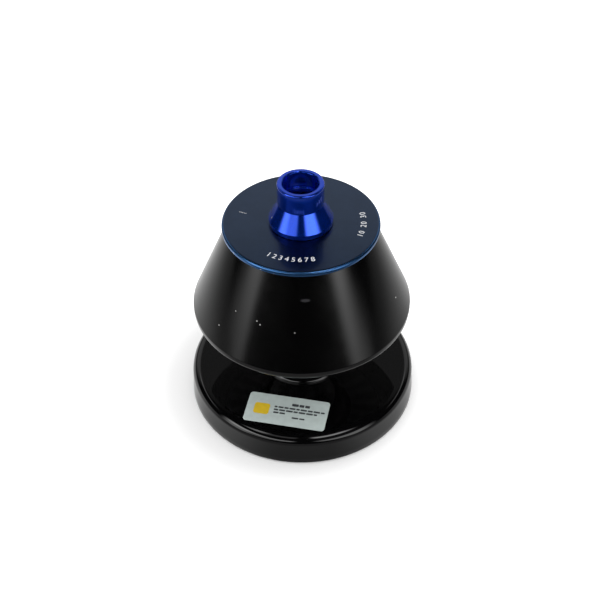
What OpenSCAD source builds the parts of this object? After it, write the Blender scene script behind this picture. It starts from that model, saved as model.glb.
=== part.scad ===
// Fixed-angle rotor for a bench ultracentrifuge, standing on its round storage stand.
// A tapered body holds a ring of tilted tube cavities. The lid closes them and is clamped by a
// screw with a hollow grip knob. Millimetres, +Z up, origin on the rotor's axis at the surface
// that the stand's feet rest on.

/* [Tubes] */
// Number of tube cavities
tube_count = 8; // [4:1:9]
// Outer diameter of the tubes that the cavities take
tube_d = 13; // [10:0.5:14]
// Radial play of a tube in its cavity
tube_play = 0.1; // [0.05:0.05:0.3]
// Depth of a cavity along its axis, from the bowl to its round end
cavity_depth = 51; // [40:1:54]
// Tilt of the cavities from the rotor's axis
tilt = 27; // [24:0.5:28]
// Bevel at the cavities' mouths
mouth_bevel = 0.6; // [0.2:0.1:0.8]

/* [Rotor body] */
// Largest diameter of the body
body_d = 130; // [120:1:150]
// Height of the body from its underside to its top rim
body_h = 60.2; // [56:0.2:75]
// Slope of the body's cone
cone_angle = 23; // [18:0.5:26]
// Height of the straight band at the widest place
band_h = 2; // [1:0.5:5]
// Radius of the rounded edge under the band
body_fillet = 3.8; // [1:0.2:6]
// Thickness of metal between a cavity's round end and the cone
cavity_wall = 6; // [5:0.5:8]
// Width of the top rim that the lid sits on
rim_w = 3.6; // [2.5:0.1:4.5]
// Depth of the straight wall inside the top rim
rim_depth = 3.4; // [3:0.1:6]
// Diameter of the boss in the middle of the bowl
bowl_boss_d = 30; // [26:1:34]
// Distance of the bowl boss's top below the rim
bowl_boss_drop = 4.7; // [4.2:0.1:7]
// Diameter of the hub under the body
hub_d = 52; // [48:1:64]
// Height of the hub under the body
hub_h = 9.5; // [6:0.5:16]
// Radius of the hollow corner between the hub and the body
hub_fillet = 2; // [0.5:0.5:3]

/* [Drive hub] */
// Diameter of the drive hub's flange
drive_flange_d = 41; // [40:1:46]
// Thickness of the drive hub's flange
drive_flange_t = 4; // [3:0.5:6]
// Diameter of the drive hub's barrel
drive_barrel_d = 28; // [27:0.5:30]
// Length of the drive hub's barrel above its flange
drive_barrel_h = 24; // [18:1:30]
// Diameter of the drive bore
drive_bore_d = 16; // [12:0.5:17]
// Metal left above the blind end of the drive bore
drive_cap = 3.5; // [2:0.5:6]
// Diameter of the drive pins
drive_pin_d = 3; // [2:0.5:3.5]
// Length of the drive pins
drive_pin_l = 9; // [6:0.5:14]
// Length of pin that stands out of the hub
drive_pin_proud = 2; // [1:0.5:3]
// Diameter of the circle that the drive pins stand on
drive_pin_pcd = 22.4; // [21.6:0.1:23]
// Number of screws in the drive hub's flange
hub_screw_count = 3; // [3:1:6]
// Thread diameter of the hub screws
hub_screw_d = 3; // [2:0.5:3]
// Length of the hub screws
hub_screw_l = 12; // [8:1:20]
// Diameter of the circle that the hub screws stand on
hub_screw_pcd = 34.4; // [34:0.1:35]

/* [Speed ring] */
// Inner diameter of the speed ring
ring_id = 64; // [58:1:72]
// Outer diameter of the speed ring
ring_od = 100; // [90:1:108]
// Thickness of the speed ring
ring_t = 1.2; // [0.8:0.1:2]

/* [Lid] */
// How far the lid stands out past the body's top rim
lid_overhang = 3.25; // [1:0.25:5]
// Thickness of the lid's plate
lid_t = 2.9; // [2.4:0.1:4]
// Radius of the lid's rounded upper edge
lid_round = 1.5; // [0.5:0.1:2]
// Depth of the plug that centres the lid in the body
plug_h = 2.8; // [2.4:0.1:2.9]
// Radial width of the plug
plug_w = 5; // [3:0.5:8]
// Diameter of the hub under the lid's middle
lid_hub_d = 22; // [18:1:24]
// Height of the hub under the lid's middle
lid_hub_h = 2.7; // [2.4:0.1:2.9]
// Cord diameter of the lid's outer seal
rim_seal_d = 1.7; // [1.2:0.1:1.8]
// Cord diameter of the seal round the lid screw
stem_seal_d = 1.5; // [1:0.1:1.6]
// Diameter of the thrust washer under the knob
washer_d = 32.8; // [28:0.2:35]
// Thickness of the thrust washer
washer_t = 1; // [0.8:0.1:1.5]
// How deep the washer lies in the lid
washer_sink = 0.6; // [0.2:0.1:0.7]

/* [Knob] */
// Diameter of the knob's foot
knob_d = 36.8; // [36:0.2:44]
// Height of the straight rim of the foot
knob_rim_h = 2.8; // [1:0.2:5]
// Height of the cone above the foot
knob_cone_h = 10.7; // [8:0.1:16]
// Diameter of the cone where it meets the collar
knob_neck_d = 25.8; // [24:0.2:26]
// Diameter of the collar
collar_d = 26.6; // [26:0.2:32]
// Height of the collar
collar_h = 12.8; // [10:0.1:18]
// Radius of the collar's rounded upper edge
collar_round = 1; // [0.4:0.1:1.2]
// Diameter of the hole in the collar
collar_bore_d = 20.3; // [18:0.1:21]
// Bevel at the mouth of the collar's hole
collar_bevel = 1; // [0.4:0.1:1.4]
// Depth of the collar's hole down to its ledge
ledge_depth = 9; // [6:0.5:12]
// Diameter of the well below the ledge
well_d = 17.6; // [16:0.1:17.8]
// Thickness of the knob's floor under the well
knob_floor_t = 6.9; // [5:0.1:9]

/* [Lid screw] */
// Diameter of the lid screw's shank
screw_d = 10; // [8:0.5:10]
// Length of the shank below the knob's floor
screw_l = 34.5; // [32:0.5:40]
// Diameter of the screw's head
screw_head_d = 13; // [12:0.5:14.5]
// Height of the screw's head
screw_head_h = 6; // [5:0.5:8]
// Outer diameter of the retaining ring under the lid
clip_d = 15; // [14:0.5:16]
// Thickness of the retaining ring
clip_t = 1.2; // [0.8:0.1:1.3]

/* [Stand] */
// Diameter of the stand at its foot
stand_d = 140.4; // [136:0.2:160]
// How much wider the foot is than the upper edge, on each side
stand_flare = 0.8; // [0:0.1:2]
// Height of the stand's disc
stand_h = 19.7; // [16:0.1:26]
// Radius of the stand's rounded upper edge
stand_round = 6.1; // [2:0.1:8]
// Diameter of the raised middle of the stand
boss_d = 53; // [48:1:60]
// Height of the raised middle
boss_h = 4; // [3:0.5:8]
// Radius of the raised middle's rounded edge
boss_round = 3.6; // [1:0.2:3.9]
// Depth of the relief in the underside
relief_h = 3; // [1:0.5:5]
// Width of the ring left round the relief
relief_rim_w = 30; // [26:1:34]
// Diameter of the stand's rubber feet
foot_d = 14; // [10:1:18]
// Thickness of the rubber feet
foot_t = 2.4; // [1.6:0.2:4]
// How far the feet stand out below the disc
foot_proud = 0.8; // [0.4:0.2:1.4]
// Number of rubber feet
foot_count = 4; // [4:1:4]

/* [Stand post] */
// Height of the shoulder above the raised middle
post_h = 33; // [24:0.5:50]
// Diameter of the post's foot
post_foot_d = 36; // [32:1:40]
// Depth of the socket that the post's foot stands in
post_socket = 2; // [1:0.5:3]
// Height of the post's foot
post_foot_h = 6; // [4:0.5:8]
// Diameter of the post's waist
post_waist_d = 24; // [20:0.5:30]
// Diameter of the post's shoulder
shoulder_d = 42; // [40:1:46]
// Thickness of the post's shoulder
shoulder_t = 5; // [4.5:0.5:8]
// Height of the spigot that enters the drive bore
spigot_h = 21.5; // [16:0.5:22]
// Thread diameter of the post's screw
post_screw_d = 8; // [6:1:10]
// Length of the post's screw under its head
post_screw_l = 28; // [24:1:32]

/* [Label] */
// Length of the label on the stand
label_l = 49.6; // [40:0.2:56]
// Width of the label
label_w = 23.2; // [18:0.2:26]
// Thickness of the label
label_t = 0.15; // [0.1:0.05:0.3]
// Rounding of the label's corners
label_round = 2; // [1:0.5:4]
// Turn of the label on the stand
label_turn = -12; // [-30:1:30]

/* [Fits] */
// Running play between a shaft and its hole, on the radius
run_play = 0.05; // [0.02:0.01:0.1]
// Play of the lid's plug in the body, on the radius
plug_play = 0.15; // [0.1:0.05:0.3]
// Gap between faces that rest on each other
face_gap = 0.05; // [0.02:0.01:0.1]
// Play round pieces that are fixed in place, on the radius
seat_play = 0.02; // [0.01:0.01:0.05]
// Free length past the end of a screw, pin or spigot
end_room = 2; // [1:0.5:3]

/* [Hidden] */
$fn = 96;

// Heights, from the feet upwards
disc_z = foot_proud;
deck_z = disc_z + stand_h;
boss_z = deck_z + boss_h;
shoulder_z = boss_z + post_h;
drive_z = shoulder_z + face_gap;
body_z = drive_z + hub_h;
rim_z = body_z + body_h;
lid_z = rim_z + face_gap;
lid_top_z = lid_z + lid_t;
washer_z = lid_top_z - washer_sink;
knob_z = washer_z + washer_t + face_gap;
cone_z = knob_z + knob_rim_h;
collar_z = cone_z + knob_cone_h;
knob_top_z = collar_z + collar_h;
well_z = knob_z + knob_floor_t;

// Body: the cone starts above the band
body_r = body_d / 2;
band_z = body_z + body_fillet;
cone_foot_z = band_z + band_h;
rim_r = body_r - (rim_z - cone_foot_z) * tan(cone_angle);
recess_r = rim_r - rim_w;
recess_z = rim_z - rim_depth;
bowl_boss_r = bowl_boss_d / 2;
bowl_boss_z = rim_z - bowl_boss_drop;
bowl_boss_foot_z = recess_z - (recess_r - bowl_boss_r) * tan(tilt);

// Cavities: the bowl is square to their axes, and cavity_wall keeps their round ends inside the cone
cavity_r = tube_d / 2 + tube_play;
cavity_l = cavity_depth - cavity_r;
bowl_low_z = recess_z - recess_r * tan(tilt);
mouth_r = (body_r - cavity_l * sin(tilt) - (bowl_low_z - cavity_l * cos(tilt) - cone_foot_z) * tan(cone_angle)
    - (cavity_r + cavity_wall) / cos(cone_angle)) / (1 + tan(tilt) * tan(cone_angle));
mouth_z = bowl_low_z + mouth_r * tan(tilt);
mouth_over = 12;

// Drive hub, its pins and screws
thread_r = screw_d / 2;
drive_top_z = drive_z + drive_flange_t + drive_barrel_h;
drive_bore_r = drive_bore_d / 2;
drive_bore_top_z = drive_top_z - drive_cap;
pin_r = drive_pin_d / 2;
pin_z = drive_z - drive_pin_proud;
hub_screw_r = hub_screw_d / 2;
hub_screw_head_r = hub_screw_d * 0.95;

// Lid screw and what surrounds it
clip_z = lid_z - lid_hub_h - face_gap - clip_t;
clip_groove = 0.7;
screw_end_z = well_z - screw_l;
lead_h = 2.5;
stem_seal_z = lid_z - lid_hub_h / 2 + washer_sink / 2;

// Stand
stand_r = stand_d / 2;
edge_r = stand_r - stand_flare;
boss_r = boss_d / 2;
relief_r = stand_r - relief_rim_w;
foot_ring_r = stand_r - relief_rim_w * 0.6;
post_head_r = post_screw_d * 0.8;
post_head_h = post_screw_d;
post_head_z = disc_z + relief_h + post_head_h + 1;
small_bevel = 0.6;

// Points along an arc round (x, z), for a profile that is turned round the axis
function arc(x, z, r, from, to, steps = 10) =
    [for (i = [0:steps]) let (a = from + (to - from) * i / steps) [x + r * cos(a), z + r * sin(a)]];

// Turns a profile of [radius, height] points round the axis
module turned(profile) {
    rotate_extrude() polygon(profile);
}

// Copies its children round the axis, the first one at angle first
module around(count, first = 0) {
    for (i = [0:count - 1]) rotate(first + i * 360 / count) children();
}

// Ring of round cord
module cord_ring(ring_r, cord_r, z) {
    rotate_extrude() translate([ring_r, z]) circle(r = cord_r, $fn = 32);
}

// Hexagon socket, cut downwards from z
module hex_socket(across, depth, z) {
    translate([0, 0, z - depth]) cylinder(r = across / sqrt(3), h = depth + 1, $fn = 6);
}

// ---- Stand ----

module stand_base() color([0.03, 0.03, 0.035]) difference() {
    turned(concat(
        [[0, disc_z], [stand_r - small_bevel, disc_z], [stand_r, disc_z + small_bevel]],
        arc(edge_r - stand_round, deck_z - stand_round, stand_round, 0, 90, 14),
        [[boss_r, deck_z]],
        arc(boss_r - boss_round, boss_z - boss_round, boss_round, 0, 90, 12),
        [[0, boss_z]]));
    translate([0, 0, disc_z - 1]) cylinder(r = relief_r, h = relief_h + 1);
    around(foot_count, 45) foot_pocket();
    translate([0, 0, boss_z - post_socket]) cylinder(d = post_foot_d + 2 * seat_play, h = post_socket + 1);
    translate([0, 0, disc_z]) cylinder(r = post_head_r + 0.6, h = post_head_z - disc_z);
    cylinder(r = post_screw_d / 2 + 0.3, h = boss_z + 1);
}

module foot_pocket() {
    translate([foot_ring_r, 0, 0]) cylinder(d = foot_d + 2 * seat_play, h = foot_t);
}

module stand_foot(i) color([0.12, 0.12, 0.12])
    rotate(45 + (i - 1) * 360 / foot_count) translate([foot_ring_r, 0, 0])
        turned([[0, 0], [foot_d / 2 - 0.4, 0], [foot_d / 2, 0.4], [foot_d / 2, foot_t], [0, foot_t]]);

module stand_post() color([0.10, 0.10, 0.11]) difference() {
    foot_top_z = boss_z - post_socket + post_foot_h;
    shoulder_low_z = shoulder_z - shoulder_t;
    step_in = (post_foot_d - post_waist_d) / 2;
    step_out = (shoulder_d - post_waist_d) / 2;
    turned([
        [0, boss_z - post_socket],
        [post_foot_d / 2, boss_z - post_socket],
        [post_foot_d / 2, foot_top_z - small_bevel],
        [post_foot_d / 2 - small_bevel, foot_top_z],
        [post_waist_d / 2, foot_top_z + step_in - small_bevel],
        [post_waist_d / 2, shoulder_low_z - step_out * 0.6],
        [shoulder_d / 2, shoulder_low_z],
        [shoulder_d / 2, shoulder_z - small_bevel],
        [shoulder_d / 2 - small_bevel, shoulder_z],
        [drive_bore_r - run_play, shoulder_z],
        [drive_bore_r - run_play, shoulder_z + spigot_h - 2 * small_bevel],
        [drive_bore_r - run_play - 2 * small_bevel, shoulder_z + spigot_h],
        [0, shoulder_z + spigot_h]]);
    pin_groove();
    cylinder(r = post_screw_d / 2 + seat_play, h = post_head_z + post_screw_l + end_room);
}

// Ring-shaped groove in the shoulder that the drive pins run in
module pin_groove() {
    groove_w = drive_pin_d + 2 * 0.4;
    translate([0, 0, shoulder_z - drive_pin_proud - 0.8]) difference() {
        cylinder(d = drive_pin_pcd + groove_w, h = drive_pin_proud + 1.8);
        translate([0, 0, -1]) cylinder(d = drive_pin_pcd - groove_w, h = drive_pin_proud + 3.8);
    }
}

module post_screw() color([0.35, 0.35, 0.37]) difference() {
    union() {
        translate([0, 0, post_head_z - post_head_h]) cylinder(r = post_head_r, h = post_head_h);
        translate([0, 0, post_head_z - 0.01]) cylinder(d = post_screw_d, h = post_screw_l + 0.01);
    }
    translate([0, 0, post_head_z - post_head_h - 1])
        cylinder(r = post_screw_d * 0.75 / sqrt(3), h = post_head_h * 0.5 + 1, $fn = 6);
}

module stand_label() color([0.68, 0.71, 0.73])
    rotate(label_turn) translate([0, -label_y(), deck_z]) linear_extrude(label_t) {
        square([label_l, label_w - 2 * label_round], center = true);
        square([label_l - 2 * label_round, label_w], center = true);
        for (x = [-1, 1], y = [-1, 1])
            translate([x * (label_l / 2 - label_round), y * (label_w / 2 - label_round)])
                circle(r = label_round, $fn = 32);
    }

// Distance of the label's middle from the axis: its outer corners lie at the flat deck's edge
function label_y() =
    sqrt(pow(edge_r - stand_round - 0.2, 2) - pow(label_l / 2 - label_round * 0.3, 2))
    - label_w / 2 + label_round * 0.3;

// ---- Rotor ----

module rotor_body() color([0.05, 0.05, 0.055]) difference() {
    turned(concat(
        [[0, drive_z], [hub_d / 2 - small_bevel, drive_z], [hub_d / 2, drive_z + small_bevel]],
        arc(hub_d / 2 + hub_fillet, body_z - hub_fillet, hub_fillet, 180, 90),
        arc(body_r - body_fillet, band_z, body_fillet, -90, 0),
        [[body_r, cone_foot_z], [rim_r, rim_z], [0, rim_z]]));
    turned([
        [0, bowl_boss_z], [bowl_boss_r - small_bevel, bowl_boss_z], [bowl_boss_r, bowl_boss_z - small_bevel],
        [bowl_boss_r, bowl_boss_foot_z], [recess_r, recess_z], [recess_r, rim_z - small_bevel / 2],
        [recess_r + small_bevel / 2 + 1, rim_z + 1], [0, rim_z + 1]]);
    around(tube_count) cavity();
    lid_thread();
    drive_pocket();
    ring_recess();
}

// One cavity: a round-ended hole along the tilted axis, bevelled where it opens into the bowl
module cavity() {
    translate([mouth_r, 0, mouth_z]) rotate([0, -tilt, 0]) {
        translate([0, 0, -cavity_l]) cylinder(r = cavity_r, h = cavity_l + mouth_over);
        translate([0, 0, -cavity_l]) sphere(r = cavity_r);
        translate([0, 0, -mouth_bevel]) cylinder(r1 = cavity_r, r2 = cavity_r + 4 * mouth_bevel, h = 4 * mouth_bevel);
    }
}

// Threaded hole for the lid screw, with a wider lead at its mouth
module lid_thread() {
    translate([0, 0, screw_end_z - end_room])
        cylinder(r = thread_r + run_play, h = bowl_boss_z - screw_end_z + end_room + 1);
    translate([0, 0, bowl_boss_z - lead_h]) cylinder(d = clip_d + 2, h = lead_h + 1);
}

// Pocket for the drive hub and the holes for its screws
module drive_pocket() {
    translate([0, 0, drive_z - 1]) {
        cylinder(d = drive_flange_d + 2 * seat_play, h = drive_flange_t + 1);
        cylinder(d = drive_barrel_d + 2 * seat_play, h = drive_top_z - drive_z + 1);
    }
    around(hub_screw_count, 90) translate([hub_screw_pcd / 2, 0, drive_z])
        cylinder(r = hub_screw_r + seat_play, h = hub_screw_l + end_room);
}

module ring_recess() {
    translate([0, 0, body_z - 1]) difference() {
        cylinder(d = ring_od + 2 * seat_play, h = ring_t + 1);
        translate([0, 0, -1]) cylinder(d = ring_id - 2 * seat_play, h = ring_t + 3);
    }
}

module drive_hub() color([0.62, 0.63, 0.65]) difference() {
    turned([
        [0, drive_z], [drive_flange_d / 2, drive_z], [drive_flange_d / 2, drive_z + drive_flange_t],
        [drive_barrel_d / 2, drive_z + drive_flange_t], [drive_barrel_d / 2, drive_top_z], [0, drive_top_z]]);
    translate([0, 0, drive_z - 1]) cylinder(r = drive_bore_r, h = drive_bore_top_z - drive_z + 1);
    translate([0, 0, drive_z - small_bevel])
        cylinder(r1 = drive_bore_r + 2 * small_bevel, r2 = drive_bore_r, h = 2 * small_bevel);
    around(2) translate([drive_pin_pcd / 2, 0, drive_z - 1])
        cylinder(r = pin_r + seat_play, h = drive_pin_l - drive_pin_proud + 1.2);
    around(hub_screw_count, 90) translate([hub_screw_pcd / 2, 0, drive_z]) {
        translate([0, 0, -1]) cylinder(r = hub_screw_r + 0.2, h = drive_flange_t + 2);
        translate([0, 0, -seat_play])
            cylinder(r1 = hub_screw_head_r + 0.1, r2 = hub_screw_r + 0.1, h = hub_screw_head_r - hub_screw_r + 0.1);
    }
}

module drive_pin(i) color([0.75, 0.75, 0.77])
    rotate((i - 1) * 180) translate([drive_pin_pcd / 2, 0, pin_z])
        turned([[0, 0], [pin_r - 0.3, 0], [pin_r, 0.3], [pin_r, drive_pin_l - 0.3],
                [pin_r - 0.3, drive_pin_l], [0, drive_pin_l]]);

// Countersunk screw, head down, flush with the hub's face
module hub_screw(i) color([0.35, 0.35, 0.37])
    rotate(90 + (i - 1) * 360 / hub_screw_count) translate([hub_screw_pcd / 2, 0, drive_z]) difference() {
        turned([[0, 0], [hub_screw_head_r, 0], [hub_screw_r, hub_screw_head_r - hub_screw_r],
                [hub_screw_r, hub_screw_l], [0, hub_screw_l]]);
        translate([0, 0, -1]) cylinder(r = hub_screw_r * 0.75, h = 2, $fn = 6);
    }

module speed_ring() color([0.20, 0.20, 0.21]) translate([0, 0, body_z]) difference() {
    cylinder(d = ring_od, h = ring_t - face_gap);
    translate([0, 0, -1]) cylinder(d = ring_id, h = ring_t + 2);
}

// ---- Lid ----

module lid_disc() color([0.10, 0.16, 0.28]) {
    lid_r = rim_r + lid_overhang;
    plug_r = recess_r - plug_play;
    groove_low_z = lid_z - plug_h / 2 - rim_seal_d / 2;
    groove_r = recess_r - rim_seal_d;
    bore_r = thread_r + run_play;
    stem_groove_r = bore_r + stem_seal_d;
    difference() {
        turned(concat(
            [[bore_r, lid_z - lid_hub_h], [lid_hub_d / 2, lid_z - lid_hub_h], [lid_hub_d / 2, lid_z],
             [plug_r - plug_w, lid_z], [plug_r - plug_w, lid_z - plug_h],
             [plug_r - small_bevel / 2, lid_z - plug_h], [plug_r, lid_z - plug_h + small_bevel / 2],
             [plug_r, lid_z], [lid_r - small_bevel, lid_z], [lid_r, lid_z + small_bevel]],
            arc(lid_r - lid_round, lid_top_z - lid_round, lid_round, 0, 90, 8),
            [[bore_r, lid_top_z]]));
        translate([0, 0, groove_low_z]) difference() {
            cylinder(r = recess_r + 1, h = rim_seal_d);
            translate([0, 0, -1]) cylinder(r = groove_r, h = rim_seal_d + 2);
        }
        translate([0, 0, stem_seal_z - stem_seal_d / 2]) cylinder(r = stem_groove_r, h = stem_seal_d);
        translate([0, 0, washer_z]) cylinder(d = washer_d + 2 * seat_play, h = washer_sink + 1);
    }
}

module rim_seal() color([0.06, 0.06, 0.06])
    cord_ring(recess_r - run_play - (rim_seal_d - run_play) / 2, (rim_seal_d - run_play) / 2 - seat_play,
        lid_z - plug_h / 2);

module stem_seal() color([0.06, 0.06, 0.06])
    cord_ring(thread_r + run_play + stem_seal_d / 2, stem_seal_d / 2 - seat_play, stem_seal_z);

module thrust_washer() color([0.80, 0.78, 0.70]) translate([0, 0, washer_z]) difference() {
    cylinder(d = washer_d, h = washer_t);
    translate([0, 0, -1]) cylinder(r = thread_r + 2 * run_play, h = washer_t + 2);
}

// ---- Knob ----

module knob() color([0.03, 0.10, 0.75]) {
    knob_r = knob_d / 2;
    collar_r = collar_d / 2;
    bore_r = collar_bore_d / 2;
    ledge_z = knob_top_z - ledge_depth;
    turned(concat(
        [[thread_r + seat_play, knob_z], [knob_r - small_bevel / 2, knob_z], [knob_r, knob_z + small_bevel / 2],
         [knob_r, cone_z - small_bevel / 2], [knob_r - small_bevel / 2, cone_z],
         [knob_neck_d / 2, collar_z], [collar_r, collar_z + (collar_r - knob_neck_d / 2) / 2]],
        arc(collar_r - collar_round, knob_top_z - collar_round, collar_round, 0, 90, 8),
        [[bore_r + collar_bevel, knob_top_z], [bore_r, knob_top_z - collar_bevel], [bore_r, ledge_z],
         [well_d / 2 + small_bevel, ledge_z], [well_d / 2, ledge_z - small_bevel],
         [well_d / 2, well_z], [thread_r + seat_play, well_z]]));
}

module lid_screw() color([0.62, 0.62, 0.64]) difference() {
    turned([
        [0, screw_end_z], [thread_r - 1, screw_end_z], [thread_r, screw_end_z + 1],
        [thread_r, clip_z], [thread_r - clip_groove, clip_z],
        [thread_r - clip_groove, clip_z + clip_t], [thread_r, clip_z + clip_t],
        [thread_r, well_z], [screw_head_d / 2, well_z],
        [screw_head_d / 2, well_z + screw_head_h - small_bevel],
        [screw_head_d / 2 - small_bevel, well_z + screw_head_h],
        [0, well_z + screw_head_h]]);
    hex_socket(screw_d * 0.6, screw_head_h * 0.6, well_z + screw_head_h);
}

// Open spring ring in the screw's groove
module retaining_ring() color([0.30, 0.30, 0.32]) translate([0, 0, clip_z + seat_play]) difference() {
    cylinder(d = clip_d, h = clip_t - 2 * seat_play);
    translate([0, 0, -1]) cylinder(r = thread_r - clip_groove + seat_play, h = clip_t + 2);
    translate([0, -clip_d / 6, -1]) cube([clip_d, clip_d / 3, clip_t + 2]);
}

stand_base();
for (i = [1:foot_count]) stand_foot(i);
stand_post();
post_screw();
stand_label();
rotor_body();
drive_hub();
drive_pin(1);  // drive_pin_1
drive_pin(2);  // drive_pin_2
for (i = [1:hub_screw_count]) hub_screw(i);
speed_ring();
lid_disc();
rim_seal();
stem_seal();
thrust_washer();
knob();
lid_screw();
retaining_ring();
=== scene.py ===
"""Looks of the fixed angle rotor on its round stand.

Frame, camera and stage come first, then the pieces in the order in which they go together: stand,
rotor, lid, knob. Lengths are written in millimetres and turned into metres by MM. A turned piece is
an outline of (radius, height) points that is swept round the rotor's axis.
"""
from functools import reduce
from math import acos, ceil, cos, pi, radians, sin, tan

import bmesh
import bpy
import numpy as np
from mathutils import Matrix, Vector


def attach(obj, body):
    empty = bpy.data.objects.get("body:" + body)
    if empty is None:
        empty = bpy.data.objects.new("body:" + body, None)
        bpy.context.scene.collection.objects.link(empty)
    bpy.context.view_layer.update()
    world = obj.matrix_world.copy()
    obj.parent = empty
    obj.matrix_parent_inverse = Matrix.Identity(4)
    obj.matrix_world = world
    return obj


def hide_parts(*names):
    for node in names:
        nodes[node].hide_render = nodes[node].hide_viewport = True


MM = 0.001
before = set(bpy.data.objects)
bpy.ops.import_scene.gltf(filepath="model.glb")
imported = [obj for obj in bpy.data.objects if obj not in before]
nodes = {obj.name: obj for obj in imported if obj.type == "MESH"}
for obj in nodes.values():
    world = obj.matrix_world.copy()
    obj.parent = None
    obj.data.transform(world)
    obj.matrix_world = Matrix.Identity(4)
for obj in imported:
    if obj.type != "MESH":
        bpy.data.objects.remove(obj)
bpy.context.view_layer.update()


# ---- Camera ----
# A 66 mm lens, 0.7 m from the stand's middle, that looks 43 degrees down and is rolled by less than a
# degree.
camera_tilt = radians(42.757)
camera_roll = radians(-0.669)
camera_place = Vector((-1.0746, -488.218, 520.411)) * MM

# The view's right and up axes, turned by the roll about the line of sight
sight = Vector((0, cos(camera_tilt), -sin(camera_tilt)))
level = Vector((1, 0, 0))
upright = Vector((0, sin(camera_tilt), cos(camera_tilt)))
view_right = level * cos(camera_roll) + upright * sin(camera_roll)
view_up = upright * cos(camera_roll) - level * sin(camera_roll)

lens = bpy.data.cameras.new("camera")
lens.lens = 66.03
lens.sensor_width = 36
lens.clip_start = 0.01
camera = bpy.data.objects.new("camera", lens)
camera.matrix_world = Matrix((view_right, view_up, -sight)).transposed().to_4x4()
camera.location = camera_place
bpy.context.scene.collection.objects.link(camera)
bpy.context.scene.camera = camera
bpy.context.scene.view_settings.view_transform = "Standard"


# ---- Paper ----
# White paper, 1.3 m wide, on a table. It ends 19 cm in front of the stand.
paper_left, paper_right = -0.65, 0.65
paper_front, paper_back = -0.26, 0.9
paper_white = 0.9
glow_middle = (-0.012, 0, 0)


def node(tree, kind, inputs=(), out=0, **settings):
    """Adds a node, fills its inputs from (name, value or socket) pairs and returns one of its outputs."""
    made = tree.nodes.new(kind)
    for key, value in settings.items():
        setattr(made, key, value)
    for key, value in inputs:
        if isinstance(value, bpy.types.NodeSocket):
            tree.links.new(value, made.inputs[key])
        else:
            made.inputs[key].default_value = value
    return made.outputs[out] if made.outputs else made


def calc(tree, operation, a, b=0.0):
    """One Math node."""
    return node(tree, "ShaderNodeMath", [(0, a), (1, b)], operation=operation)


def product(tree, *factors):
    """All factors, multiplied."""
    return reduce(lambda a, b: calc(tree, "MULTIPLY", a, b), factors)


def vector(tree, operation, a, b=(0, 0, 0)):
    """One Vector Math node, which gives a number for LENGTH and DISTANCE and a vector otherwise."""
    out = "Value" if operation in ("LENGTH", "DISTANCE") else "Vector"
    return node(tree, "ShaderNodeVectorMath", [(0, a), (1, b)], out, operation=operation)


def fade(tree, value, start, end, low=0.0, high=1.0):
    """Smooth step: low up to start, high from end on."""
    ends = [("Value", value), ("From Min", start), ("From Max", end), ("To Min", low), ("To Max", high)]
    return node(tree, "ShaderNodeMapRange", ends, interpolation_type="SMOOTHSTEP")


def blend(tree, amount, a, b):
    """Colour a where amount is 0, b where it is 1."""
    parts = [("Factor", amount), (6, a), (7, b)]
    return node(tree, "ShaderNodeMix", parts, out=2, data_type="RGBA")


def azimuth_of(tree, x, y):
    """Angle in degrees of the direction (x, y), counted from the front, -y, to the right, +x."""
    return calc(tree, "DEGREES", calc(tree, "ARCTAN2", x, product(tree, y, -1.0)))


def shaded(name, **values):
    """Material with one Principled shader; an underscore in a value's name stands for a space."""
    material = bpy.data.materials.new(name)
    material.use_nodes = True
    shader = material.node_tree.nodes["Principled BSDF"]
    for key, value in values.items():
        shader.inputs[key.replace("_", " ")].default_value = value
    return material, material.node_tree, shader


def dress(pieces, material):
    """Gives the pieces that material and no other."""
    for piece in pieces:
        piece.data.materials.clear()
        piece.data.materials.append(material)


def matt_paper():
    """Matt white. In mirrored light its colour darkens as painted shade: with distance, where the
    softboxes leave it unlit, in front, where the camera stands, and a little on the right."""
    material, tree, shader = shaded("floor_paper", Roughness=1.0, Specular_IOR_Level=0.0,
                                    Emission_Color=(1, 1, 1, 1))
    spot = node(tree, "ShaderNodeTexCoord", out="Object")
    away = vector(tree, "LENGTH", spot)
    x, y, z = node(tree, "ShaderNodeSeparateXYZ", [(0, spot)]).node.outputs
    side = calc(tree, "ABSOLUTE", azimuth_of(tree, x, y))
    under_stand = fade(tree, side, 12.0, 45.0, low=0.35, high=0.8)
    ahead = fade(tree, away, 0.084, 0.105, low=under_stand, high=0.25)
    # Painted shade in the colour that mirrored rays see, deepest in front of the stand
    painted_shade = product(tree, fade(tree, away, 0.10, 0.52, low=1.0, high=0.18),
                  fade(tree, side, 55.0, 95.0, low=ahead, high=1.0),
                  fade(tree, x, 0.03, 0.14, low=1.0, high=0.74))
    path = node(tree, "ShaderNodeLightPath").node
    seen = blend(tree, path.outputs["Is Glossy Ray"], (1, 1, 1, 1), painted_shade)
    tree.links.new(vector(tree, "MULTIPLY", seen, (paper_white,) * 3), shader.inputs["Base Color"])
    # To the camera the paper glows to white, except in the shadow round the stand
    from_glow = vector(tree, "DISTANCE", spot, glow_middle)
    glow = product(tree, path.outputs["Is Camera Ray"],
                   fade(tree, from_glow, 0.07, 0.115, low=0.08, high=0.62))
    tree.links.new(glow, shader.inputs["Emission Strength"])
    return material


floor_mesh = bpy.data.meshes.new("floor")
floor_corners = [(paper_left, paper_front, 0), (paper_right, paper_front, 0),
                 (paper_right, paper_back, 0), (paper_left, paper_back, 0)]
floor_mesh.from_pydata(floor_corners, [], [(0, 1, 2, 3)])
floor = bpy.data.objects.new("floor", floor_mesh)
bpy.context.scene.collection.objects.link(floor)
dress([floor], matt_paper())


# ---- Light ----
# A dark studio with a pale wall behind. A tall softbox stands on each side of the camera, with a strip
# light over it, and a thin lamp hangs over each side of the table.

# Half the width in degrees of each box's soft inner edge
left_soft, right_soft = 4.5, 6.0
# Strengths, where 1 is white
right_strip = 4.5
side_lamp = 1.5
dark_studio = 0.004
even_light = 1.25


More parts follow.
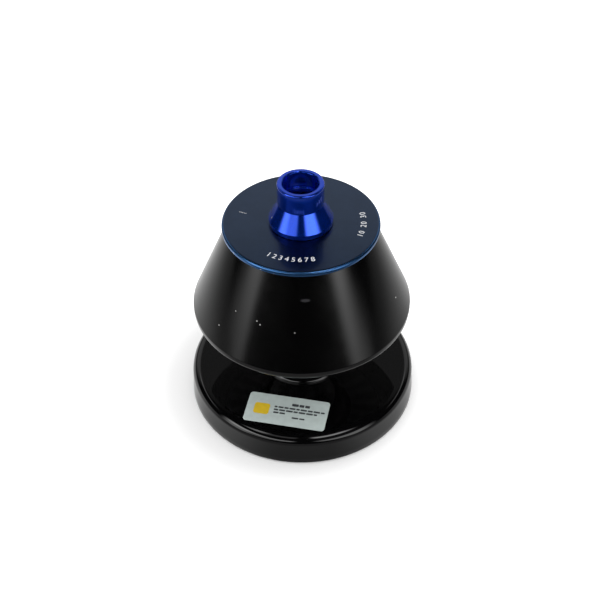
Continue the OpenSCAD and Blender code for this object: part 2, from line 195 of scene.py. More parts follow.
def total(tree, *parts):
    """All parts, added up."""
    return reduce(lambda a, b: calc(tree, "ADD", a, b), parts)


def band(tree, value, low, high, soft):
    """1 between low and high, 0 outside, and a smooth step from soft before each edge to soft past it."""
    rise = fade(tree, value, low - soft, low + soft)
    fall = fade(tree, value, high - soft, high + soft, 1.0, 0.0)
    return calc(tree, "MULTIPLY", rise, fall)


def studio():
    """World light by direction: azimuth counts from the front to the right, elevation upwards, in
    degrees. Mirrored light sees the boxes and the wall, matt surfaces an even white."""
    world = bpy.data.worlds.new("studio")
    world.use_nodes = True
    tree = world.node_tree
    tree.nodes.clear()
    aim = node(tree, "ShaderNodeTexCoord")
    across, along, height = node(tree, "ShaderNodeSeparateXYZ", [(0, aim)]).node.outputs
    azimuth = azimuth_of(tree, across, along)
    side = calc(tree, "ABSOLUTE", azimuth)
    elevation = calc(tree, "DEGREES", calc(tree, "ARCSINE", height))

    # The boxes' inner edges draw together as they rise, and the boxes are wider next to the table
    left_inner = fade(tree, elevation, -4.0, 20.0, low=-57.0, high=-9.0)
    right_inner = fade(tree, elevation, -4.0, 20.0, low=46.0, high=12.0)
    wider = fade(tree, elevation, -8.0, -3.0, low=12.0, high=0.0)
    into_left = calc(tree, "SUBTRACT", left_inner, azimuth)
    left = product(tree, fade(tree, into_left, -left_soft, left_soft),
                   fade(tree, calc(tree, "ADD", azimuth, wider), -82.0, -66.0))
    into_right = calc(tree, "SUBTRACT", azimuth, right_inner)
    right = product(tree, fade(tree, into_right, -right_soft, right_soft),
                    fade(tree, calc(tree, "SUBTRACT", azimuth, wider), 50.0, 71.0, low=1.0, high=0.0))

    # The left box is brightest at the top, and its top edge slopes
    strip = band(tree, elevation, 54.0, 68.0, soft=2.5)
    left_top = fade(tree, azimuth, -75.0, -15.0, low=33.0, high=25.0)
    left_face = total(tree, fade(tree, azimuth, -56.0, -44.0, low=2.3, high=1.2),
                      fade(tree, elevation, 15.0, 23.0, low=0.0, high=2.8))
    below_top = fade(tree, calc(tree, "SUBTRACT", elevation, left_top), -3.0, 3.0, low=1.0, high=0.0)
    left_strip = product(tree, strip, fade(tree, azimuth, -58.0, -44.0, low=3.0, high=0.6))
    left_level = total(tree, product(tree, left_face, below_top), left_strip)
    right_level = total(tree, fade(tree, elevation, 20.0, 27.0, low=2.6, high=0.05),
                        product(tree, strip, right_strip))
    boxes = total(tree, product(tree, left, left_level), product(tree, right, right_level))
    boxes = product(tree, boxes, fade(tree, elevation, -12.0, 4.0))

    # The wall is brightest at half height
    wall = calc(tree, "MINIMUM", fade(tree, elevation, 5.0, 20.0, low=0.16, high=0.62),
                fade(tree, elevation, 37.0, 43.5, low=0.66, high=0.16))
    wall = product(tree, wall, fade(tree, elevation, 48.0, 62.0, low=1.0, high=0.06),
                   fade(tree, side, 112.0, 138.0))
    lamps = product(tree, band(tree, elevation, 33.0, 37.0, soft=2.0),
                    band(tree, side, 96.0, 132.0, soft=8.0), side_lamp)
    mirrored = total(tree, boxes, wall, lamps, dark_studio)

    path = node(tree, "ShaderNodeLightPath").node
    plain = calc(tree, "MAXIMUM", product(tree, path.outputs["Is Diffuse Ray"], even_light),
                 path.outputs["Is Camera Ray"])
    parts = [("Factor", path.outputs["Is Glossy Ray"]), ("A", plain), ("B", mirrored)]
    strength = node(tree, "ShaderNodeMix", parts)
    light = node(tree, "ShaderNodeBackground", [("Color", (1, 1, 1, 1)), ("Strength", strength)])
    node(tree, "ShaderNodeOutputWorld", [("Surface", light)])
    world.cycles.sampling_method = "NONE"
    return world


bpy.context.scene.world = studio()


# ---- Stand ----
# Disc of glossy black plastic with a rounded edge and a rounded raised middle, turned. Its underside
# has a relief, four pockets for feet, and a hole for the post's screw.
plastic_black = (0.0012, 0.0012, 0.0014, 1)
press_gap = 0.02
stand_z = 0.8
deck_z = 20.5
middle_z = 24.5
relief_r, relief_z = 40.2, 3.8
socket_r, socket_z = 18, 22.5
bolt_r, bolt_seat_z = 4.3, 12.8
bolt_head_r = 7.0
foot_r, foot_z = 7.0, 2.4
foot_circle = 52.2
quarters = [pi / 4 + i * pi / 2 for i in range(4)]


def arc(r, z, radius, start, end, steps=12):
    """Points (r + radius cos a, z + radius sin a), with a from start to end in degrees."""
    a = np.radians(np.linspace(start, end, steps + 1))
    return np.column_stack((r + radius * np.cos(a), z + radius * np.sin(a)))


def new_piece(name, vertices, faces, shade=35):
    """Mesh object from points in millimetres, smooth except at edges sharper than shade degrees."""
    mesh = bpy.data.meshes.new(name)
    mesh.from_pydata(vertices * MM, [], faces)
    mesh.validate()
    mesh.shade_smooth()
    mesh.set_sharp_from_angle(angle=radians(shade))
    piece = bpy.data.objects.new(name, mesh)
    bpy.context.scene.collection.objects.link(piece)
    return piece


def lathe(name, outline, steps=256, closed=False, centre=(0, 0)):
    """Turned surface: (r, z) goes to (x + r cos a, y + r sin a, z) at steps even angles a. A point at
    r = 0 is one vertex, so the faces next to it have three corners."""
    r, z = np.array(outline, float).T[:, :, None]
    r = np.where(r < 1e-6, 0.0, r)
    a = np.arange(steps) * 2 * pi / steps
    x = centre[0] + r * np.cos(a)
    y = centre[1] + r * np.sin(a)
    grid = np.stack((x, y, np.broadcast_to(z, x.shape)), axis=-1)
    kept = (r > 0) | (np.arange(steps) == 0)
    number = np.cumsum(kept).reshape(kept.shape) - 1
    low = number if closed else number[:-1]
    high = np.roll(number, -1, axis=0)[:len(low)]
    quads = np.stack((low, np.roll(low, -1, axis=1), np.roll(high, -1, axis=1), high), axis=-1)
    quads = quads.reshape(-1, 4)
    corner = quads != np.roll(quads, 1, axis=1)
    faces = np.split(quads[corner], np.cumsum(corner.sum(axis=1))[:-1])
    return new_piece(name, grid[kept], faces)


def carved(piece, cutters, shade=35):
    """Takes each cutter's solid out of the piece, applied to its mesh, and removes the cutters."""
    for cutter in cutters:
        cut = piece.modifiers.new("cut", "BOOLEAN")
        cut.operation = "DIFFERENCE"
        cut.solver = "EXACT"
        cut.object = cutter
    solved = piece.evaluated_get(bpy.context.evaluated_depsgraph_get())
    mesh = bpy.data.meshes.new_from_object(solved)
    piece.modifiers.clear()
    piece.data = mesh
    mesh.name = piece.name
    mesh.set_sharp_from_angle(angle=radians(shade))
    for cutter in cutters:
        bpy.data.objects.remove(cutter)


def place(tree, stretch=(1, 1, 1)):
    """The piece's own coordinates in millimetres, multiplied by stretch."""
    own = node(tree, "ShaderNodeTexCoord", out="Object")
    return vector(tree, "MULTIPLY", own, [s / MM for s in stretch])


def grain(tree, at, size, detail=2.0):
    """Noise whose lumps are about size millimetres across."""
    return node(tree, "ShaderNodeTexNoise", [("Vector", at), ("Scale", 1.0 / size), ("Detail", detail)])


def bumped(tree, shader, height, depth):
    """Bump of height, depth in millimetres."""
    parts = [("Height", height), ("Distance", depth * MM), ("Strength", 1.0)]
    normal = node(tree, "ShaderNodeBump", parts)
    tree.links.new(normal, shader.inputs["Normal"])


def gloss_black():
    """Near-black plastic; its polish varies a little, and fine scratches catch the light."""
    material, tree, shader = shaded("gloss_black", Base_Color=plastic_black, IOR=1.5)
    at = place(tree)
    polish = fade(tree, grain(tree, at, 9.0, 4.0), 0.35, 0.7, low=0.03, high=0.075)
    hair = grain(tree, place(tree, (1.0, 0.05, 1.0)), 0.35, 1.0)
    cross = grain(tree, place(tree, (0.06, 1.0, 0.6)), 0.3, 1.0)
    rub = fade(tree, calc(tree, "MAXIMUM", hair, cross), 0.70, 0.78, low=0.0, high=0.10)
    tree.links.new(total(tree, polish, rub), shader.inputs["Roughness"])
    bumped(tree, shader, grain(tree, at, 14.0, 1.0), 0.012)
    return material


relief = [(relief_r, relief_z), (relief_r, stand_z), (69.6, stand_z)]
wall = [(69.85, 0.9), (70.1, 1.15), (70.2, 1.4), (70.0, 5.0), (69.6, 11.0), (69.44, 13.4)]
edge = [*arc(63.3, 14.4, 6.1, 0, 90, 18), (62.4, deck_z), (60, deck_z), (34, deck_z), (26.0, deck_z)]
middle = [(25.55, 20.55), (25.35, 20.7), (25.3, 20.9), *arc(21.7, 20.9, 3.6, 0, 90, 14)[1:]]
socket = [(21.0, middle_z), (18.3, middle_z), (socket_r + press_gap, 24.2)]
socket += [(socket_r + press_gap, socket_z), (bolt_r, socket_z)]
bolt_hole = [(bolt_r, bolt_seat_z), (bolt_head_r, bolt_seat_z), (bolt_head_r, relief_z)]
stand = lathe("stand_disc", relief + wall + edge + middle + socket + bolt_hole, closed=True)
pocket_r = foot_r + press_gap
pocket = [(0, -1), (pocket_r, -1), (pocket_r, foot_z), (0, foot_z)]
carved(stand, [lathe("pocket", pocket, 64, centre=(foot_circle * cos(a), foot_circle * sin(a)))
               for a in quarters])
dress([stand], gloss_black())
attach(stand, "stand")
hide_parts("stand_base")


# ---- Feet ----
# Four black rubber discs pressed into the pockets, 0.8 mm proud of the underside.
foot_black = (0.02, 0.02, 0.02, 1)
dust_grey = (0.05, 0.05, 0.048, 1)


def rounded(corners, closed=False):
    """Outline of (r, z, radius) corners, each one an arc that touches both its sides: its centre lies
    on the line that halves the corner, at radius / sin(half the corner's angle).
    A point a little way along each side keeps the shading of the long faces flat."""
    points = []
    last = len(corners) - 1
    for i, (r, z, radius) in enumerate(corners):
        if radius == 0 or (not closed and i in (0, last)):
            points.append((r, z))
            continue
        here = np.array((r, z))
        back = np.array(corners[i - 1][:2]) - here
        ahead = np.array(corners[(i + 1) % (last + 1)][:2]) - here
        room = min(np.linalg.norm(back), np.linalg.norm(ahead))
        back = back / np.linalg.norm(back)
        ahead = ahead / np.linalg.norm(ahead)
        half = acos(np.clip(back @ ahead, -1, 1)) / 2
        reach = radius / tan(half)
        centre = here + (back + ahead) / np.linalg.norm(back + ahead) * radius / sin(half)
        turn = pi - 2 * half
        if back[0] * ahead[1] - back[1] * ahead[0] > 0:
            turn = -turn
        spare = min(0.3 * radius, max(0.0, (room / 2 - reach) * 0.5))
        steps = ceil(abs(turn) / radians(15))
        a = turn * np.arange(steps + 1) / steps
        arm = here + back * reach - centre
        swept = centre + np.outer(np.cos(a), arm) + np.outer(np.sin(a), (-arm[1], arm[0]))
        points += [here + back * (reach + spare), *swept, here + ahead * (reach + spare)]
    return points


def matt_rubber(name, colour):
    """Dark rubber with a dusty, grainy surface."""
    material, tree, shader = shaded(name, IOR=1.52)
    at = place(tree)
    dust = fade(tree, grain(tree, at, 2.5, 4.0), 0.45, 0.75)
    tree.links.new(blend(tree, dust, colour, dust_grey), shader.inputs["Base Color"])
    rough = fade(tree, grain(tree, at, 0.6), 0.3, 0.7, low=0.55, high=0.75)
    tree.links.new(rough, shader.inputs["Roughness"])
    bumped(tree, shader, grain(tree, at, 0.4, 3.0), 0.03)
    return material


foot_rubber = matt_rubber("foot_rubber", foot_black)
for i, a in enumerate(quarters):
    outline = rounded([(0, 0, 0), (foot_r, 0, 0.4), (foot_r, foot_z, 0.1), (0, foot_z, 0)])
    foot = lathe(f"foot_{i + 1}", outline, 64, centre=(foot_circle * cos(a), foot_circle * sin(a)))
    dress([foot], foot_rubber)
    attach(foot, "stand")
    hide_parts(f"stand_foot_{i + 1}")


# ---- Post and its screw ----
# Turned aluminium, black anodised: a foot in the stand's socket, a waist, a shoulder that carries the
# rotor, and a spigot that enters its drive bore. An M8 socket screw holds it from below.
post_black = (0.012, 0.012, 0.014, 1)
steel_dark = (0.16, 0.155, 0.15, 1)
post_thread_r, post_thread_z = 4.02, 42.8
shoulder_z = 57.5


def from_axis(tree, at):
    """Distance from the rotor's axis."""
    return vector(tree, "LENGTH", vector(tree, "MULTIPLY", at, (1, 1, 0)))


def turned_rings(tree, at, width):
    """Noise that changes with radius and height only, in rings about width millimetres wide."""
    height = node(tree, "ShaderNodeSeparateXYZ", [(0, at)], out="Z")
    return grain(tree, node(tree, "ShaderNodeCombineXYZ", [(0, from_axis(tree, at)), (1, height)]), width)


def darker(colour, share):
    """The colour times share."""
    return tuple(c * share for c in colour[:3]) + (1,)


def turned_metal(name, colour, rough, metallic=1.0):
    """Metal with fine turning grooves, in the bump and in the roughness, and faint darker patches."""
    material, tree, shader = shaded(name, Metallic=metallic, IOR=1.5)
    at = place(tree)
    rings = turned_rings(tree, at, 0.12)
    patch = grain(tree, at, 7.0, 3.0)
    shade = blend(tree, fade(tree, patch, 0.3, 0.7), darker(colour, 0.82), colour)
    tree.links.new(shade, shader.inputs["Base Color"])
    uneven = total(tree, product(tree, rings, 0.08), product(tree, patch, 0.08), rough - 0.08)
    tree.links.new(uneven, shader.inputs["Roughness"])
    bumped(tree, shader, rings, 0.002)
    return material


post_thread = [(0, post_thread_z, 0), (post_thread_r, post_thread_z, 0), (post_thread_r, socket_z, 0)]
foot_and_waist = [(socket_r, socket_z, 0.2), (socket_r, 27.9, 0.5)]
foot_and_waist += [(12, 33.9, 1.2), (12, 47.1, 1.2), (21, 52.5, 0.3)]
shoulder = [(21, 56.9, 0.3), (20.4, shoulder_z, 0.3), (13.1, shoulder_z, 0.15), (13.1, 54.7, 0.2)]
shoulder += [(9.3, 54.7, 0.2), (9.3, shoulder_z, 0.15)]
spigot = [(7.95, shoulder_z, 0.15), (7.95, 77.8, 0.4), (6.75, 79, 0.4), (0, 79, 0)]
post = lathe("post", rounded(post_thread + foot_and_waist + shoulder + spigot), 160)
dress([post], turned_metal("post_black", post_black, 0.28, metallic=0.0))
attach(post, "stand")
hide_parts("stand_post")
dark_steel = turned_metal("screw_steel", steel_dark, 0.36)
dress([nodes["post_screw"]], dark_steel)


# ---- Label ----
# Silver-grey film with rounded corners, stuck on the stand's deck a little askew. Its print is plain:
# a yellow square and rows of short grey dashes.
silver_grey = (0.55, 0.63, 0.61, 1)
print_grey = (0.05, 0.055, 0.06, 1)
print_yellow = (0.80, 0.55, 0.02, 1)
label_long, label_short = 49.6, 23.2
film_z = 0.15
print_z = 0.17
dash_gap = 0.55
dash_lengths = (1.6, 4.2)
shortest_dash = 0.8
# Start, end, middle and height of each row of dashes on the label
dash_rows = [(2.2, 13.2, 5.4, 2.0), (-8.0, 22.8, 2.3, 1.3), (-8.0, 19.3, 0.0, 1.3),
             (-7.8, 0.4, -2.3, 1.3), (4.0, 11.8, -4.8, 1.2)]
# The label's own plane, x along its long side, on the deck
label_place = Vector((-9.83, -46.2, deck_z)) * MM
label_plane = Matrix.Translation(label_place) @ Matrix.Rotation(radians(-12), 4, "Z")


def tile(name, x, y, width, height, radius, low, high, steps=8):
    """Closed slab on the label from height low to high. Its outline goes round (x, y) through four
    quarter circles: corner middle + radius (cos a, sin a), with a over one right angle each."""
    way = np.repeat([(1, 1), (-1, 1), (-1, -1), (1, -1)], steps + 1, axis=0)
    starts = np.array((0, 90, 180, 270))
    a = np.radians(np.linspace(starts, starts + 90, steps + 1).T.ravel())
    ring = (x, y) + way * (width / 2 - radius, height / 2 - radius)
    ring = ring + radius * np.column_stack((np.cos(a), np.sin(a)))
    count = len(ring)
    levels = np.repeat((low, high), count)
    here = np.arange(count)
    after = np.roll(here, -1)
    sides = np.column_stack((here, after, count + after, count + here))
    piece = new_piece(name, np.column_stack((np.tile(ring, (2, 1)), levels)),
                      [*sides, count + here, here[::-1]])
    piece.data.transform(label_plane)
    return piece


def film(name, colour, rough):
    """Printed plastic film, faintly mottled."""
    material, tree, shader = shaded(name, IOR=1.46)
    at = place(tree)
    cloud = fade(tree, grain(tree, at, 4.0, 4.0), 0.3, 0.7)
    tree.links.new(blend(tree, cloud, darker(colour, 0.9), colour), shader.inputs["Base Color"])
    uneven = fade(tree, grain(tree, at, 1.2), 0.3, 0.7, low=rough, high=rough + 0.12)
    tree.links.new(uneven, shader.inputs["Roughness"])
    bumped(tree, shader, grain(tree, at, 6.0), 0.01)
    return material


grey_ink = film("grey_ink", print_grey, 0.45)
label = tile("label", 0, 0, label_long, label_short, 2, 0, film_z)
dress([label], film("label_film", silver_grey, 0.35))
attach(label, "stand")
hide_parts("stand_label")
rng = np.random.default_rng(4)
for n, (start, end, y, height) in enumerate(dash_rows):
    x = start
    k = 0
    while x < end - shortest_dash:
        width = min(rng.uniform(*dash_lengths), end - x)
        dash = tile(f"dash_{n}_{k}", x + width / 2, y, width, height, 0.3, film_z, print_z, 3)
        dress([dash], grey_ink)
        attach(dash, "stand")
        x += width + dash_gap
        k += 1
square = tile("square", -15.4, -0.6, 9.4, 8.6, 1.6, film_z, print_z)
dress([square], film("yellow_ink", print_yellow, 0.4))
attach(square, "stand")


# ---- Rotor body ----
# One turned titanium forging with a satin black finish. Eight round-ended cavities, tilted 27 degrees,
# open square into the conical bowl under the lid; the thread for the lid screw is in the middle.
coat_black = (0.0009, 0.0009, 0.0010, 1)
rubbed_grey = (0.07, 0.07, 0.075, 1)
chip_grey = (0.45, 0.45, 0.44, 1)
# Middle and radius of each light chip in the coat, and the middle of the rubbed oval
body_chips = [(-37.1, -39.7, 97.9, 0.30), (-25.1, -48.1, 98.0, 0.35), (-23.4, -49.7, 96.6, 0.40),
              (-4.2, -55.3, 95.4, 0.30), (54.3, -20.6, 89.2, 0.45), (-47.4, -36.9, 84.4, 0.35),
              (41.0, -38.5, 92.0, 0.25), (12.0, -62.6, 74.0, 0.30)]
oval_middle = (1.9, -48.0, 112.9)
rag_size = 0.6
hub_r, hub_top_z = 14, 85.55
flange_r, flange_z = 20.5, 61.55
hub_seat_z = 57.55
collar_seat_r = 26
underside_z = 67.05
ring_in, ring_out, ring_seat_z = 32, 50, 68.25
body_r, cone_foot_z, body_top_z = 65, 72.85, 127.25
rim_wall, recess_z = 3.6, 123.85
boss_r, boss_z = 15, 122.55
lead_r, lead_z = 8.5, 120.05
thread_r, thread_foot_z = 5.05, 101.05
cone_angle = radians(23)
cavity_tilt = radians(27)
cavity_r, cavity_wall = 6.6, 44.4
mouth_bevel = 0.6
cavity_mouth = Vector((28.4345, 0, 118.819)) * MM
screw_circle = 17.2
thirds = [pi / 2 + i * 2 * pi / 3 for i in range(3)]


def spots(tree, at, places, soft):
    """1 inside any of the (x, y, z, radius) balls, with an edge that noise makes ragged: it is added to
    the distance, less its mean."""
    rag = product(tree, grain(tree, at, 0.5), rag_size)
    balls = []
    for x, y, z, radius in places:
        far = total(tree, vector(tree, "DISTANCE", at, (x, y, z)), rag)
        reach = radius + rag_size / 2
        balls.append(fade(tree, far, reach - soft, reach + soft, low=1.0, high=0.0))
    return reduce(lambda a, b: calc(tree, "MAXIMUM", a, b), balls)


def satin_black():
    """Satin black coat, with faint turning lines, small light chips and one rubbed oval."""
    material, tree, shader = shaded("satin_black", IOR=1.5)
    at = place(tree)
    height = node(tree, "ShaderNodeSeparateXYZ", [(0, at)], out="Z")
    lines = node(tree, "ShaderNodeTexNoise", [("W", height), ("Scale", 3.0), ("Detail", 3.0)],
                 noise_dimensions="1D")
    oval = vector(tree, "MULTIPLY", vector(tree, "SUBTRACT", at, oval_middle), (0.35, 1.0, 1.0))
    rubbed = fade(tree, vector(tree, "LENGTH", oval), 0.5, 1.3, low=1.0, high=0.0)
    coat = blend(tree, product(tree, rubbed, 0.35), coat_black, rubbed_grey)
    chipped = blend(tree, spots(tree, at, body_chips, 0.2), coat, chip_grey)
    tree.links.new(chipped, shader.inputs["Base Color"])
    haze = fade(tree, grain(tree, at, 16.0, 4.0), 0.3, 0.7, low=-0.015, high=0.02)
    tree.links.new(total(tree, haze, product(tree, lines, 0.03), 0.135), shader.inputs["Roughness"])
    bumped(tree, shader, total(tree, product(tree, lines, 0.4), grain(tree, at, 0.25, 1.0)), 0.0015)
    return material


def joined(name, pieces):
    """One object from several, in place of them."""
    all_faces = bmesh.new()
    for piece in pieces:
        all_faces.from_mesh(piece.data)
        bpy.data.objects.remove(piece)
    mesh = bpy.data.meshes.new(name)
    all_faces.to_mesh(mesh)
    all_faces.free()
    piece = bpy.data.objects.new(name, mesh)
    bpy.context.scene.collection.objects.link(piece)
    return piece


rim_r = body_r - (body_top_z - cone_foot_z) * tan(cone_angle)
recess_r = rim_r - rim_wall
bowl_foot_z = recess_z - (recess_r - boss_r) * tan(cavity_tilt)
bore_top_z = hub_top_z + press_gap
hub_bore = [(0, bore_top_z, 0), (hub_r + press_gap, bore_top_z, 0.3), (hub_r + press_gap, flange_z, 0.2)]
hub_bore += [(flange_r + press_gap, flange_z, 0.3), (flange_r + press_gap, hub_seat_z, 0.2)]
hub_bore += [(collar_seat_r, hub_seat_z, 0.6), (collar_seat_r, underside_z, 2)]
ring_seat = [(ring_in - press_gap, underside_z, 0.1), (ring_in - press_gap, ring_seat_z, 0.1)]
ring_seat += [(ring_out + press_gap, ring_seat_z, 0.1), (ring_out + press_gap, underside_z, 0.1)]
flank = [(body_r, underside_z, 3.8), (body_r, cone_foot_z, 0.9), (rim_r, body_top_z, 0.35)]
bowl = [(recess_r, body_top_z, 0.3), (recess_r, recess_z, 0.3), (boss_r, bowl_foot_z, 0.5)]
thread = [(boss_r, boss_z, 0.6), (lead_r, boss_z, 0.25), (lead_r, lead_z, 0.2), (thread_r, lead_z, 0.3)]
thread += [(thread_r, thread_foot_z, 0.2), (0, thread_foot_z, 0)]
body = lathe("body", rounded(hub_bore + ring_seat + flank + bowl + thread))

# A cavity: a half ball, a straight wall, a bevelled mouth, and room above it to cut the bowl
cavity = [*arc(0, 0, cavity_r, -90, 0, 12), (cavity_r, 1), (cavity_r, cavity_wall - mouth_bevel)]
cavity += [(7.2, cavity_wall), (8.7, cavity_wall + 1.5), (8.6, cavity_wall + 12), (0, cavity_wall + 12)]
to_mouth = Matrix.Translation(cavity_mouth)
lean = Matrix.Rotation(-cavity_tilt, 4, "Y")
down = Matrix.Translation(Vector((0, 0, -cavity_wall)) * MM)
cavities = []
for i in range(8):
    hole = lathe("hole", cavity, 64)
    hole.data.transform(Matrix.Rotation(i * pi / 4, 4, "Z") @ to_mouth @ lean @ down)
    cavities.append(hole)
screw_hole = [(0, 50), (1.52, 50), (1.52, 71.55), (0, 71.55)]
screw_holes = [lathe("screw_hole", screw_hole, 32, centre=(screw_circle * cos(a), screw_circle * sin(a)))
               for a in thirds]
carved(body, [joined("holes", cavities), joined("screw_holes", screw_holes)])
dress([body], satin_black())
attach(body, "rotor")
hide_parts("rotor_body")


# ---- Drive hub, pins and screws ----
# Bare titanium hub pressed into the underside: a bore for the spindle, two hardened pins that take
# the drive, and three countersunk screws.
titanium = (0.50, 0.48, 0.46, 1)
pin_steel = (0.66, 0.66, 0.68, 1)
pin_circle = 11.2
drive_bore_r, drive_bore_z = 8, 82.05
hole_foot_z = 50

drive_bore = [(0, drive_bore_z, 0), (drive_bore_r, drive_bore_z, 0.3), (drive_bore_r, 58.75, 0.2)]
flange = [(9.2, hub_seat_z, 0.2), (flange_r, hub_seat_z, 0.3), (flange_r, flange_z, 0.2)]
barrel = [(hub_r, flange_z, 0.3), (hub_r, hub_top_z, 0.4), (0, hub_top_z, 0)]
hub = lathe("hub", rounded(drive_bore + flange + barrel), 160)
pin_hole = [(0, hole_foot_z), (1.52, hole_foot_z), (1.52, 64.75), (0, 64.75)]
countersink = [(0, hole_foot_z), (2.97, hole_foot_z), (2.97, 57.53), (1.7, 58.98), (1.7, 65), (0, 65)]
hub_holes = [lathe("pin_hole", pin_hole, 32, centre=(x, 0)) for x in (pin_circle, -pin_circle)]
hub_holes += [lathe("screw_hole", countersink, 32, centre=(screw_circle * cos(a), screw_circle * sin(a)))
              for a in thirds]
carved(hub, [joined("holes", hub_holes)])
dress([hub, nodes["lid_screw"]], turned_metal("bare_titanium", titanium, 0.30))
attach(hub, "rotor")
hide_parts("drive_hub")
dress([nodes[f"hub_screw_{i}"] for i in (1, 2, 3)], dark_steel)
dress([nodes["drive_pin_1"], nodes["drive_pin_2"]], turned_metal("ground_steel", pin_steel, 0.16))


# ---- Speed ring ----
# Film ring glued under the body. The centrifuge counts its 26 dark sectors and the greyer ones between.
sector_count = 26.0
sector_black = (0.004, 0.004, 0.005, 1)
sector_grey = (0.035, 0.035, 0.037, 1)
ring_top_z = 68.2


def sector_film():
    """Film in two colours by turns: the colour follows the sine of the sector count times the angle
    round the axis."""
    material, tree, shader = shaded("ring_film", IOR=1.46)
    at = place(tree)
    split = node(tree, "ShaderNodeSeparateXYZ", [(0, at)]).node
    angle = calc(tree, "ARCTAN2", split.outputs[1], split.outputs[0])
    wave = calc(tree, "SINE", product(tree, angle, sector_count))
    colour = blend(tree, fade(tree, wave, -0.06, 0.06), sector_black, sector_grey)
    tree.links.new(colour, shader.inputs["Base Color"])
    rough = fade(tree, grain(tree, at, 2.0), 0.3, 0.7, low=0.28, high=0.42)
    tree.links.new(rough, shader.inputs["Roughness"])
    return material


outline = [(ring_in, ring_top_z, 0.1), (ring_in, underside_z, 0.1), (ring_out, underside_z, 0.1)]
outline += [(ring_out, ring_top_z, 0.1)]
ring = lathe("ring", rounded(outline, True), closed=True)
dress([ring], sector_film())
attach(ring, "rotor")
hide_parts("speed_ring")


# ---- Lid ----
# Turned aluminium plate, satin slate-blue anodised, with a rounded rim, a plug that centres it in the
# body and a hub for the screw. White plain numerals are engraved on top.
slate_blue = (0.042, 0.074, 0.142, 1)
# Brighter blue painted on the lid's rounded rim: a painted highlight
rim_highlight_blue = (0.045, 0.155, 0.39, 1)
bare_bright = (0.75, 0.76, 0.78, 1)
seal_black = (0.012, 0.012, 0.012, 1)
lid_r, lid_top_z = 45.159, 130.2
plate_z = 127.3
plug_in, plug_out, plug_foot_z = 33.16, 38.16, 124.5
groove_r, groove_foot_z, groove_top_z = 36.61, 125.05, 126.75
lid_hub_r, lid_hub_z = 11, 124.6
stem_r, stem_groove_r = 5.05, 6.55
washer_seat_r, washer_z = 16.42, 129.6
# Radius beyond which the rim is painted brighter blue, a painted highlight
rim_highlight_from = 44.4
digit_share = 0.7
engraved = 0.01
# A scratch, as a row of five chips, and the chips in the rim
scratch = [(-34.9 + 0.875 * k, 8.7 - 0.375 * k, lid_top_z, 0.3) for k in range(5)]
rim_chips = [(-37.3, -25.5, 128.4, 0.35), (-22.2, -39.3, 128.3, 0.3), (-15.2, -42.5, 127.6, 0.2),
             (44.6, 8.0, 128.0, 0.3)]


def anodised(name, colour, rough, chips, metallic=1.0, coat=0.8, rim_from=99.0,
             rim_colour=(0, 0, 0, 1)):
    """Dyed oxide on turned aluminium: coloured mirror, fine rings, a rim colour beyond the radius
    rim_from that paints a highlight there, and bright bare metal at the chips."""
    material, tree, shader = shaded(name, Metallic=metallic, IOR=1.5, Coat_Weight=coat,
                                    Coat_Roughness=0.06)
    at = place(tree)
    rings = turned_rings(tree, at, 0.10)
    cloud = fade(tree, grain(tree, at, 12.0, 4.0), 0.3, 0.7)
    dyed = blend(tree, cloud, darker(colour, 0.88), colour)
    # Beyond rim_from the colour turns to rim_colour: a painted highlight on the rim
    dyed = blend(tree, fade(tree, from_axis(tree, at), rim_from - 0.5, rim_from), dyed, rim_colour)
    chip = spots(tree, at, chips, 0.2)
    tree.links.new(blend(tree, chip, dyed, bare_bright), shader.inputs["Base Color"])
    tree.links.new(fade(tree, chip, 0.0, 1.0, low=metallic, high=0.2), shader.inputs["Metallic"])
    uneven = total(tree, product(tree, rings, 0.06), product(tree, cloud, 0.03), rough - 0.04)
    tree.links.new(uneven, shader.inputs["Roughness"])
    bumped(tree, shader, rings, 0.0012)
    return material


def numerals(name, words, start, end, radius, size, white):
    """Digits size millimetres tall on an arc on the lid's top, feet outwards, at even angles from start
    to end in degrees. A digit's height is digit_share of the font's."""
    for n, (word, angle) in enumerate(zip(words, np.linspace(start, end, len(words)))):
        if word == " ":
            continue
        curve = bpy.data.curves.new(f"{name}_{n}", "FONT")
        curve.body = word
        curve.size = size * MM / digit_share
        curve.align_x = "CENTER"
        curve.extrude = engraved * MM
        curve.resolution_u = 4
        typed = bpy.data.objects.new(f"{name}_{n}", curve)
        bpy.context.scene.collection.objects.link(typed)
        mesh = bpy.data.meshes.new_from_object(typed)
        bpy.data.objects.remove(typed)
        digit = bpy.data.objects.new(f"{name}_{n}", mesh)
        bpy.context.scene.collection.objects.link(digit)
        turn = Matrix.Rotation(radians(angle + 90), 4, "Z")
        out = Vector((0, -radius - size / 2, lid_top_z + engraved / 2)) * MM
        mesh.transform(turn @ Matrix.Translation(out))
        dress([digit], white)
        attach(digit, "lid")


lid_hub = [(stem_r, lid_hub_z, 0.2), (lid_hub_r, lid_hub_z, 0.4), (lid_hub_r, plate_z, 0.3)]
plug = [(plug_in, plate_z, 0.3), (plug_in, plug_foot_z, 0.3), (plug_out, plug_foot_z, 0.3)]
plug += [(plug_out, groove_foot_z, 0.1), (groove_r, groove_foot_z, 0.1), (groove_r, groove_top_z, 0.1)]
plug += [(plug_out, groove_top_z, 0.1), (plug_out, plate_z, 0.15)]
plate = [(lid_r, plate_z, 0.5), (lid_r, lid_top_z, 1.5), (washer_seat_r, lid_top_z, 0.15)]
plate += [(washer_seat_r, washer_z, 0.1), (stem_r, washer_z, 0.2)]
stem_groove = [(stem_r, 127.0, 0.1), (stem_groove_r, 127.0, 0.1), (stem_groove_r, 125.5, 0.1)]
stem_groove += [(stem_r, 125.5, 0.1)]
lid = lathe("lid", rounded(lid_hub + plug + plate + stem_groove, True), closed=True)
dress([lid], anodised("lid_blue", slate_blue, 0.3, scratch + rim_chips, coat=0.35, rim_from=rim_highlight_from,
                      rim_colour=rim_highlight_blue))
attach(lid, "lid")
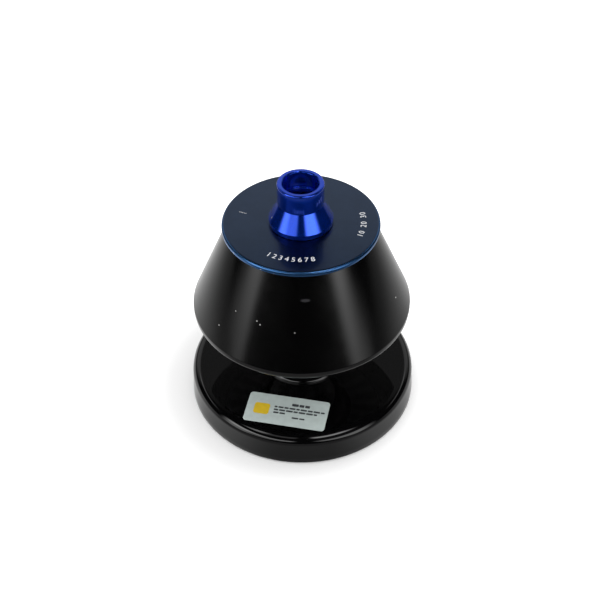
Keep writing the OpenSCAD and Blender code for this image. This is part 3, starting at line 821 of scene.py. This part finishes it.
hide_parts("lid_disc")
white_fill = shaded("engraving", Base_Color=bare_bright, Roughness=0.6)[0]
numerals("front", "12345678", -121.5, -79.5, 34.0, 3.5, white_fill)
numerals("side", "10 20 30", -22.5, 9.5, 35.5, 3.3, white_fill)
dress([nodes["rim_seal"], nodes["stem_seal"]], matt_rubber("seal_rubber", seal_black))


# ---- Thrust washer ----
# Ivory bearing plastic between the lid and the knob's foot.
ivory = (0.62, 0.56, 0.42, 1)
washer_in, washer_out = 5.1, 16.4
washer_top_z = 130.6

outline = [(washer_in, washer_z, 0.1), (washer_out, washer_z, 0.1), (washer_out, washer_top_z, 0.2)]
outline += [(washer_in, washer_top_z, 0.1)]
washer = lathe("washer", rounded(outline, True), 160, True)
dress([washer], film("washer_plastic", ivory, 0.4))
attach(washer, "lid")
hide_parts("thrust_washer")


# ---- Knob and lid screw ----
# Turned from one bar and anodised bright blue: foot, cone and hollow collar with a ledge inside. The
# titanium screw passes through its floor and is kept by a spring ring under the lid.
royal_blue = (0.002, 0.068, 0.72, 1)
knob_chips = [(-16.4, -4.4, 136.2, 0.3), (-16.1, -4.6, 136.9, 0.2), (17.2, 1.2, 135.6, 0.3),
              (13.2, -1.0, 155.6, 0.2)]
knob_foot_r, knob_foot_z = 18.4, 130.65
collar_r, collar_bore_r = 13.3, 10.15
well_r, well_z = 8.8, 137.55
knob_bore_r = 5.02
ledge_z = 146.75
knob_top_z = 156.95

foot_and_cone = [(knob_bore_r, knob_foot_z, 0.1), (knob_foot_r, knob_foot_z, 0.3)]
foot_and_cone += [(knob_foot_r, 133.45, 0.35), (12.9, 144.15, 0.15), (collar_r, 144.45, 0.2)]
collar = [(collar_r, knob_top_z, 0.9), (10.75, knob_top_z, 0.25), (collar_bore_r, 156.35, 0.35)]
ledge = [(collar_bore_r, ledge_z, 0.25), (9.05, ledge_z, 0.12), (well_r, 146.5, 0.12)]
well = [(well_r, well_z, 0.4), (knob_bore_r, well_z, 0.1)]
knob = lathe("knob_turned", rounded(foot_and_cone + collar + ledge + well, True), closed=True)
dress([knob], anodised("knob_blue", royal_blue, 0.12, knob_chips, metallic=0.9))
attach(knob, "knob")
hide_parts("knob")
dress([nodes["retaining_ring"]], dark_steel)
